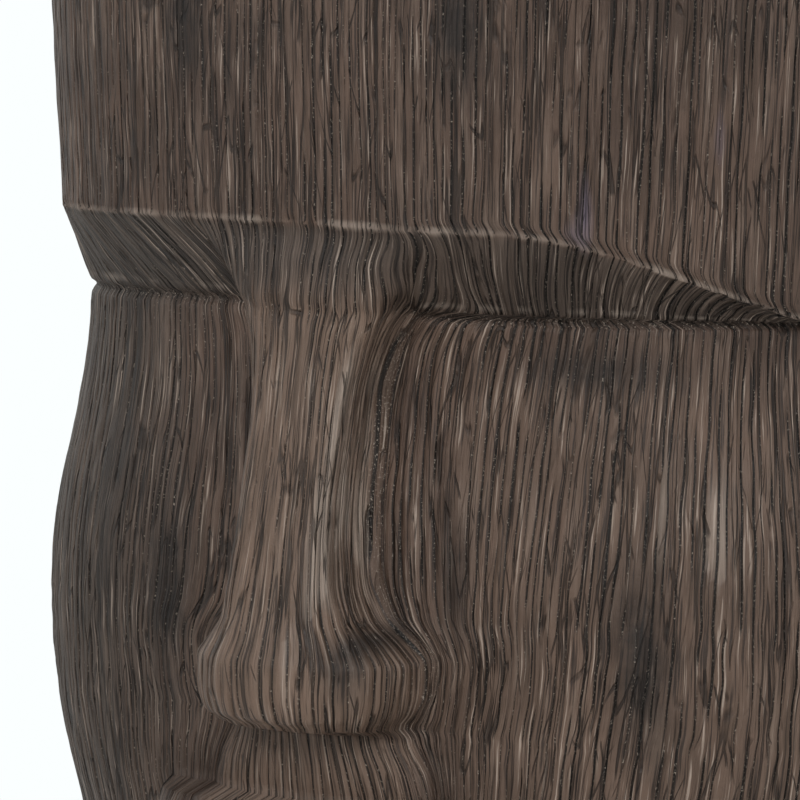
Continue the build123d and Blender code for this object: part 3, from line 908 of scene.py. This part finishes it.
# %% [markdown]
# ## Materials
# Each material starts from what the real thing is. Colours are written as they look on a screen and turned
# to light values by one function. Another small function adds a node, sets it and links it. What comes up
# many times, such as soft noise or one more coat of paint, is a row of a table that a loop goes through.

# %% Colours and nodes
def linear(hex_colour):
    """An sRGB hex colour as linear values with full alpha."""
    parts = [int(hex_colour[i:i + 2], 16) / 255 for i in (1, 3, 5)]
    return [c / 12.92 if c <= 0.04045 else ((c + 0.055) / 1.055) ** 2.4 for c in parts] + [1.0]


def add_node(tree, kind, links=None, values=None, **settings):
    """A node of that kind with its settings, the values of its sockets and what is linked to them."""
    node = tree.nodes.new(kind)
    for key, value in settings.items():
        setattr(node, key, value)
    for key, value in (values or {}).items():
        node.inputs[key].default_value = value
    for key, source in (links or {}).items():
        tree.links.new(source, node.inputs[key])
    return node


def new_material(name):
    """An empty material with its surface shader, and the shader's node."""
    material = bpy.data.materials.new(name)
    material.use_nodes = True
    return material, material.node_tree, material.node_tree.nodes["Principled BSDF"]


# %% Coats of paint
# A Map Range node takes its value at 0, the old range at 1 and 2 and the new range at 3 and 4. A Mix node
# takes its two colours at 6 and 7 and gives the mixed one at 2.
def lay_coats(tree, under, coats):
    """Coats over a first colour. Each shows as its mask goes from low to high, and at most by most."""
    for colour, mask, low, high, most in coats:
        share = add_node(tree, "ShaderNodeMapRange", {0: mask}, {1: low, 2: high, 4: most}).outputs[0]
        links, values = {"Factor": share}, {7: linear(colour)}
        if isinstance(under, str):
            values[6] = linear(under)
        else:
            links[6] = under
        under = add_node(tree, "ShaderNodeMix", links, values, data_type="RGBA").outputs[2]
    return under


# %% [markdown]
# ### Stained, dry-brushed casting
# The casting is cement, so it is matt and never metallic. A dark stain sits in every stroke, deepened by
# painted shade, a paler brown was dragged over the ridges, partly as painted highlight, and fine hairlines
# lie between the big strokes. Hairlines are 0.8 mm wide and 30 mm long, and the sand in the mix is 0.6 mm
# across.
# Every pattern runs along the strokes through the UV map, or through the mix on the piece's own coordinates,
# and the points' numbers say where it shows; they also place painted shade, painted highlights and glints.

# %% Start the casting and read the points' numbers
casting, tree, shader = new_material("stained_cement_casting")
objects = add_node(tree, "ShaderNodeTexCoord").outputs["Object"]
strokes = add_node(tree, "ShaderNodeUVMap", uv_map="strokes").outputs["UV"]
tone = {}
for kept, names in (
    ("paint", ("cut", "soot_and_shade", "pale_and_highlight", "warm_and_painted_light")),
    ("finish", ("grey_and_shade", "dust", "gloss", "sandy")),
):
    numbers = add_node(tree, "ShaderNodeAttribute", attribute_name=kept)
    parts = add_node(tree, "ShaderNodeSeparateColor", {0: numbers.outputs["Color"]}).outputs
    tone.update(zip(names, [*parts, numbers.outputs["Alpha"]]))

# %% Patterns along the strokes and in the mix
# name, what it runs on, degrees turned, squeezed along to, blotch in mm, detail, roughness
for name, place, degrees, squeeze, blotch_mm, detail, roughness in (
    ("hairs", strokes, 0, 0.024, 0.8, 3.0, 0.6),
    ("wires", strokes, 0, 0.03, 5.6, 3.0, 0.5),
    ("slips", strokes, 8.0, 0.08, 6.5, 1.0, 0.4),
    ("crossings", strokes, -11.0, 0.10, 7.5, 1.0, 0.4),
    ("drags", strokes, 0, 0.07, 3.4, 3.0, 0.6),
    ("blotches", objects, 0, 1, 30.0, 4.0, 0.55),
    ("sand", objects, 0, 1, 0.6, 2.0, 0.7),
    ("slip_places", objects, 0, 1, 15.0, 2.0, 0.55),
    ("cross_places", objects, 0, 1, 12.0, 2.0, 0.55),
    ("soot_puffs", objects, 0, 1, 9.0, 3.0, 0.55),
):
    for changed, values in ((degrees, {"Rotation": (0, 0, math.radians(degrees))}),
                            (squeeze != 1, {"Scale": (1.0, squeeze, 1.0)})):
        if changed:
            place = add_node(tree, "ShaderNodeMapping", {"Vector": place}, values).outputs[0]
    values = {"Scale": 1000.0 / blotch_mm, "Detail": detail, "Roughness": roughness}
    tone[name] = add_node(tree, "ShaderNodeTexNoise", {"Vector": place}, values).outputs["Fac"]

# %% Thin lines that wander, meet and part
# Each is the middle contour of a soft pattern: 1 where the noise is very near to a half, else 0.
for name, half_width in (("wires", 0.014), ("slips", 0.011), ("crossings", 0.010)):
    off = add_node(tree, "ShaderNodeMath", {0: tone[name]}, {1: 0.5}, operation="SUBTRACT")
    size = add_node(tree, "ShaderNodeMath", {0: off.outputs[0]}, operation="ABSOLUTE")
    ends = {1: half_width * 0.4, 2: half_width, 3: 1.0, 4: 0.0}
    tone[name] = add_node(tree, "ShaderNodeMapRange", {0: size.outputs[0]}, ends).outputs[0]

# %% Where each pattern shows
# new name, source, old range, new range. A name that comes again is the next step of the same tone.
for name, source, low, high, least, most in (
    ("slip_places", "slip_places", 0.50, 0.58, 0, 1),
    ("on_grey", "grey_and_shade", 0.4, 0.7, 0, 1),
    ("cross_places", "cross_places", 0.48, 0.40, 0, 1),
    ("soot_puffs", "soot_puffs", 0.35, 0.6, 0.75, 1.1),
    ("grains", "sand", 0.60, 0.68, 0, 1),
    ("in_cut", "cut", 0, 0.3, 0, 1),
    ("grit", "sand", 0.58, 0.70, 0, 0.8),
    ("hair_relief", "hairs", 0.40, 0.62, 0, 0.30),
    ("sand_relief", "sand", 0.2, 0.8, 0, 0.16),
    ("rough", "gloss", 0, 1, 0.48, 0.32),
):
    ends = {1: low, 2: high, 3: least, 4: most}
    tone[name] = add_node(tree, "ShaderNodeMapRange", {0: tone[source]}, ends).outputs[0]
# new name, what is done with the two tones after it
for name, operation, one, other in (
    ("slip_places", "MAXIMUM", "slip_places", "on_grey"),
    ("slips", "MULTIPLY", "slips", "slip_places"),
    ("crossings", "MULTIPLY", "crossings", "cross_places"),
    ("slips", "MAXIMUM", "slips", "crossings"),
    ("lines", "MAXIMUM", "wires", "slips"),
    ("soot_and_shade_mask", "MULTIPLY", "soot_and_shade", "soot_puffs"),
    # painted glints: pale sand specks at the strokes' edges
    ("painted_glint_specks", "MULTIPLY", "grains", "in_cut"),
    ("gritty", "MULTIPLY", "grit", "sandy"),
    ("skin", "ADD", "hair_relief", "sand_relief"),
    ("relief", "SUBTRACT", "skin", "lines"),
):
    pair = {0: tone[one], 1: tone[other]}
    tone[name] = add_node(tree, "ShaderNodeMath", pair, operation=operation).outputs[0]
print("tones of the casting:", len(tone))

# %% Mix the stain, coat by coat, with painted shade and highlights
# colour, mask, from where to where it comes in, and how much of it there is at most
COATS = [
    ("#59483e", "blotches", 0.36, 0.64, 1),
    # warm paint on the nose, a lighter near cheek, and painted light on the field below the nose
    ("#715e51", "warm_and_painted_light", 0, 1, 0.6),
    # greyer paint with painted shade on the brow's slope and the far side
    ("#3b3530", "grey_and_shade", 0, 1, 0.8),
    ("#76675c", "drags", 0.52, 0.70, 0.4),
    ("#33281f", "drags", 0.46, 0.34, 0.5),
    ("#1a1310", "hairs", 0.46, 0.38, 0.8),
    # pale hairlines: dry brush, partly painted highlight
    ("#a09185", "hairs", 0.59, 0.68, 0.65),
    # soot clouds, and painted shade on the nose's flanks
    ("#141110", "soot_and_shade_mask", 0.08, 0.9, 0.85),
    # rubbed pale edges, painted highlights and painted glints
    ("#9d9085", "pale_and_highlight", 0.2, 0.95, 0.65),
    ("#83798a", "dust", 0.15, 1.0, 0.4),
    # dark stain with painted shade in the thin lines
    ("#150f0c", "lines", 0, 1, 0.72),
    # dark stain with painted shade in the strokes, and painted shadow in the notch
    ("#0d0907", "cut", 0.08, 0.5, 0.92),
    # painted glints on sand specks at the strokes' edges
    ("#8f8479", "painted_glint_specks", 0, 1, 0.8),
    ("#9a8e82", "gritty", 0, 1, 1),
]
body = lay_coats(tree, "#44362e", [(colour, tone[mask], *amounts) for colour, mask, *amounts in COATS])
relief = {"Strength": 1.0, "Distance": 0.0007}
bump = add_node(tree, "ShaderNodeBump", {"Height": tone["relief"]}, relief)
for socket, source in (("Base Color", body), ("Roughness", tone["rough"]), ("Normal", bump.outputs[0])):
    tree.links.new(source, shader.inputs[socket])
shader.inputs["Specular IOR Level"].default_value = 0.2
for piece in (face_piece, back_piece, *ears):
    piece.data.materials.clear()
    piece.data.materials.append(casting)
print("casting nodes", len(tree.nodes))

# %% [markdown]
# ### What is underneath and inside
# The board is trowelled cement, the bandage is woven glass in slurry, the blocks are sawn pine, the screws
# are zinc-plated steel and the feet and the bung are moulded rubber.

# %% A plain recipe for the small finishes
def plain_finish(name, low, high, blotch_mm, grain_mm, roughness, depth_mm, squeeze=(1, 1, 1), metallic=0.0):
    """A finish of two close colours in soft blotches, with a fine grain that also bumps the surface."""
    material, tree, shader = new_material(name)
    objects = add_node(tree, "ShaderNodeTexCoord").outputs["Object"]
    place = add_node(tree, "ShaderNodeMapping", {"Vector": objects}, {"Scale": squeeze}).outputs[0]
    noises = []
    for size_mm, detail, coarseness in ((blotch_mm, 3.0, 0.55), (grain_mm, 2.0, 0.7)):
        values = {"Scale": 1000.0 / size_mm, "Detail": detail, "Roughness": coarseness}
        noises.append(add_node(tree, "ShaderNodeTexNoise", {"Vector": place}, values).outputs["Fac"])
    blotches, grain = noises
    colour = lay_coats(tree, low, [(high, blotches, 0.38, 0.62, 1), (low, grain, 0.5, 0.3, 0.6)])
    ends = {1: 0.3, 2: 0.7, 3: roughness - 0.08, 4: roughness + 0.08}
    rough = add_node(tree, "ShaderNodeMapRange", {0: grain}, ends).outputs[0]
    bump = add_node(tree, "ShaderNodeBump", {"Height": grain}, {"Strength": 0.6, "Distance": depth_mm * MM})
    for socket, source in (("Base Color", colour), ("Roughness", rough), ("Normal", bump.outputs[0])):
        tree.links.new(source, shader.inputs[socket])
    shader.inputs["Metallic"].default_value = metallic
    return material


# two colours, blotch and grain in mm, roughness, depth of the grain in mm, squeeze, metallic
ZINC = ("#a3a6a8", "#c2c4c4", 3.0, 0.4, 0.38, 0.03, (1, 1, 1), 1.0)
FINISHES = {
    "base_plate": plain_finish("trowelled_cement_board", "#8d8982", "#aaa69d", 18.0, 0.8, 0.85, 0.30),
    "base_blocks": plain_finish("sawn_pine", "#a27c4d", "#c9a571", 9.0, 1.2, 0.75, 0.25, (1.0, 1.0, 0.1)),
    "base_screws": plain_finish("zinc_plated_steel", *ZINC),
    "foot_screws": plain_finish("zinc_plated_steel_feet", *ZINC),
    "rubber_feet": plain_finish("moulded_black_rubber", "#17181a", "#232427", 8.0, 0.5, 0.78, 0.08),
    "fill_bung": plain_finish("moulded_bung_rubber", "#1c1c1e", "#2a2a2c", 8.0, 0.5, 0.72, 0.08),
}
bandage = plain_finish("glass_bandage_in_slurry", "#a7a294", "#c8c3b4", 6.0, 1.4, 0.92, 0.40)
for tape in ("joint_tape_left", "joint_tape_right", "joint_tape_crown"):
    FINISHES[tape] = bandage
for node, material in FINISHES.items():
    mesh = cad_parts[node].data
    mesh.materials.clear()
    mesh.materials.append(material)
print("finishes on", len(FINISHES), "engineered pieces")

# %% [markdown]
# ## Put the new pieces on the model
# The two shells stand for the plain ones, and the ears are cast in one with the back. All four ride on the
# casting, so that only the bung moves when it is pulled.

# %% Ride and replace
for piece in (face_piece, back_piece, *ears):
    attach(piece, "casting")
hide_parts("face_shell")
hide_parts("back_shell")

# %% [markdown]
# ## Floor, lamps and sky
# The figure stands on a plain pale plane. A little way off it turns white for the camera, so that no horizon
# shows, and near the base it keeps the soft shadow.

# %% The floor
bpy.ops.object.select_all(action="DESELECT")
bpy.ops.mesh.primitive_plane_add(size=12.0, location=(0, 0, cad_box[0].z - 0.0005))
floor = bpy.context.object
floor.name = "floor"
white = linear("#fbffff")
white_from, white_to = 0.45, 1.1      # metres from the figure's middle
floor_material, tree, shader = new_material("pale_floor")
objects = add_node(tree, "ShaderNodeTexCoord").outputs["Object"]
mottle = {"Scale": 2.5, "Detail": 3.0, "Roughness": 0.55}
share = add_node(tree, "ShaderNodeTexNoise", {"Vector": objects}, mottle).outputs["Fac"]
pale_tones = {6: linear("#e6e5e2"), 7: linear("#ecebe9")}
colour = add_node(tree, "ShaderNodeMix", {"Factor": share}, pale_tones, data_type="RGBA").outputs[2]
tree.links.new(colour, shader.inputs["Base Color"])
shader.inputs["Roughness"].default_value = 0.9
away = add_node(tree, "ShaderNodeVectorMath", {0: objects}, operation="LENGTH").outputs["Value"]
far_off = add_node(tree, "ShaderNodeMapRange", {0: away}, {1: white_from, 2: white_to}).outputs[0]
to_camera = add_node(tree, "ShaderNodeLightPath").outputs["Is Camera Ray"]
white_share = add_node(tree, "ShaderNodeMath", {0: far_off, 1: to_camera}, operation="MULTIPLY").outputs[0]
glow = add_node(tree, "ShaderNodeEmission", values={"Color": white, "Strength": 1.0}).outputs[0]
joined = add_node(tree, "ShaderNodeMixShader", {0: white_share, 1: shader.outputs[0], 2: glow}).outputs[0]
tree.links.new(joined, tree.nodes["Material Output"].inputs["Surface"])
floor.data.materials.append(floor_material)

# %% [markdown]
# ### Lamps and sky
# One large soft lamp stands on the left of the camera, a weaker one on its right and a wide one behind, and
# the sky fills in from all round. The sky is white to the camera and in reflections, and gives less light.

# %% Three soft lamps
def soft_lamp(name, azimuth, elevation, distance, size, power):
    """A square lamp that faces the middle of the head."""
    a, e = math.radians(azimuth), math.radians(elevation)
    away = Vector((math.sin(a) * math.cos(e), -math.cos(a) * math.cos(e), math.sin(e)))
    target = Vector((0, 0, 0.32))
    bpy.ops.object.light_add(type="AREA", location=target + away * distance)
    lamp = bpy.context.object
    lamp.name = name
    lamp.rotation_mode = "QUATERNION"
    lamp.rotation_quaternion = (-away).to_track_quat("-Z", "Y")
    lamp.data.size, lamp.data.energy = size, power


soft_lamp("key_lamp", 14, 28, 2.2, 0.8, 30)
soft_lamp("side_lamp", 74, 20, 2.2, 0.5, 10)
soft_lamp("back_lamp", 185, 38, 2.6, 1.4, 30)

# %% The sky
sky_light, sky_seen = 0.4, 1.0
world = bpy.data.worlds.new("studio_sky")
bpy.context.scene.world = world
world.use_nodes = True
tree = world.node_tree
path = add_node(tree, "ShaderNodeLightPath").outputs
seen = path["Is Camera Ray"]
for ray in ("Is Glossy Ray", "Is Transmission Ray"):
    seen = add_node(tree, "ShaderNodeMath", {0: seen, 1: path[ray]}, operation="MAXIMUM").outputs[0]
strength = add_node(tree, "ShaderNodeMapRange", {0: seen}, {3: sky_light, 4: sky_seen}).outputs[0]
tree.nodes["Background"].inputs["Color"].default_value = white
tree.links.new(strength, tree.nodes["Background"].inputs["Strength"])
bpy.context.scene.view_settings.view_transform = "Standard"

# %% [markdown]
# ## The engineered size
# The looks must not change the object's size, so the engineered box is written down.

# %% Write the engineered box and finish
print("engineered", [[round(c, 4) for c in corner] for corner in cad_box])
